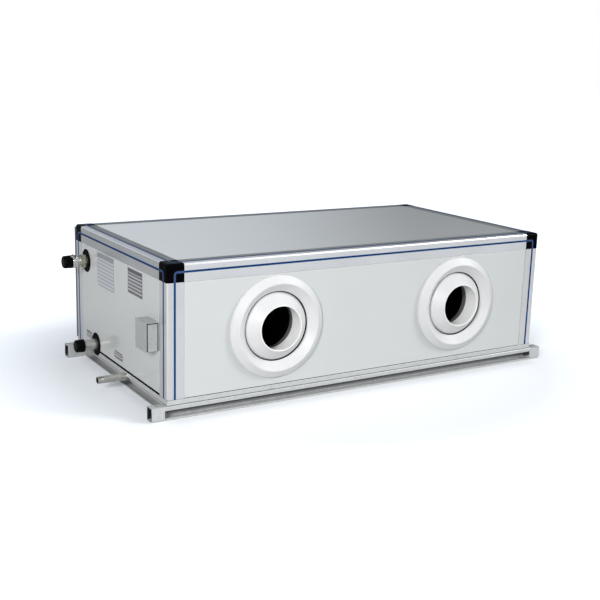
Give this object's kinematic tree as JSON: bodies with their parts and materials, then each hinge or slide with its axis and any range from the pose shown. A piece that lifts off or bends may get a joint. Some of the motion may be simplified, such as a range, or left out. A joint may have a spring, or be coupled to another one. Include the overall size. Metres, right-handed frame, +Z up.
{
  "type": "air handling unit",
  "caption": "Low box-shaped ceiling air handling unit with framed flush panels, swivelling round jet nozzles, channel base rails, and water, drain and cable connections at one end.",
  "frame": {"origin": "centre of the four hanger holes, on the underside of the base rails", "axes": "+X along the casing's length, with the connections at -X; the nozzles blow towards -Y; +Z up"},
  "size_m": [1.782, 0.934, 0.5308],
  "materials": {
    "base_zinc": "hot dip galvanised sheet, satin",
    "frame_aluminium": "satin anodised extrusion",
    "corner_plastic": "black moulded nylon",
    "panel_paint": "pale grey coated sheet, semi gloss",
    "return_steel": "dark grey coated sheet",
    "filter_mesh": "dark nylon filter mesh",
    "trim_blue": "blue plastic strip",
    "nozzle_white": "white gloss",
    "pipe_steel": "zinc plated steel pipe",
    "pipe_cap_plastic": "black protective cap",
    "disc_rubber": "black rubber",
    "union_brass": "nickelled brass",
    "box_zinc": "galvanised sheet box"
  },
  "bodies": {
    "casing": {"front_rail": "base_zinc", "rear_rail": "base_zinc", "left_side_rail": "base_zinc", "right_side_rail": "base_zinc", "front_left_end_plate": "base_zinc", "front_right_end_plate": "base_zinc", "rear_left_end_plate": "base_zinc", "rear_right_end_plate": "base_zinc", "floor_panel": "base_zinc", "front_left_post": "frame_aluminium", "front_right_post": "frame_aluminium", "rear_left_post": "frame_aluminium", "rear_right_post": "frame_aluminium", "front_top_rail": "frame_aluminium", "rear_top_rail": "frame_aluminium", "left_top_rail": "frame_aluminium", "right_top_rail": "frame_aluminium", "front_left_corner": "corner_plastic", "front_right_corner": "corner_plastic", "rear_left_corner": "corner_plastic", "rear_right_corner": "corner_plastic", "front_panel": "panel_paint", "left_panel": "panel_paint", "right_panel": "panel_paint", "top_panel": "panel_paint", "return_frame": "return_steel", "return_filter": "filter_mesh", "trim_strips": "trim_blue", "left_nozzle_ring": "nozzle_white", "right_nozzle_ring": "nozzle_white", "left_nozzle_retainer": "nozzle_white", "right_nozzle_retainer": "nozzle_white", "upper_water_pipe": "pipe_steel", "lower_water_pipe": "pipe_steel", "upper_pipe_cap": "pipe_cap_plastic", "lower_pipe_cap": "pipe_cap_plastic", "upper_pipe_disc": "disc_rubber", "lower_pipe_disc": "disc_rubber", "upper_pipe_union": "union_brass", "air_vent": "pipe_steel", "drain_pipe": "pipe_steel", "junction_box": "box_zinc", "junction_box_lid": "box_zinc"},
    "left_ball": {"left_nozzle_ball": "nozzle_white"},
    "right_ball": {"right_nozzle_ball": "nozzle_white"}
  },
  "joints": [
    {"name": "left_ball_tilt", "type": "hinge", "parent": "casing", "child": "left_ball", "pos_m": [-0.398, -0.3635, 0.28], "axis": [1, 0, 0], "range_deg": [-30, 30]},
    {"name": "right_ball_tilt", "type": "hinge", "parent": "casing", "child": "right_ball", "pos_m": [0.398, -0.3635, 0.28], "axis": [1, 0, 0], "range_deg": [-30, 30]}
  ]
}
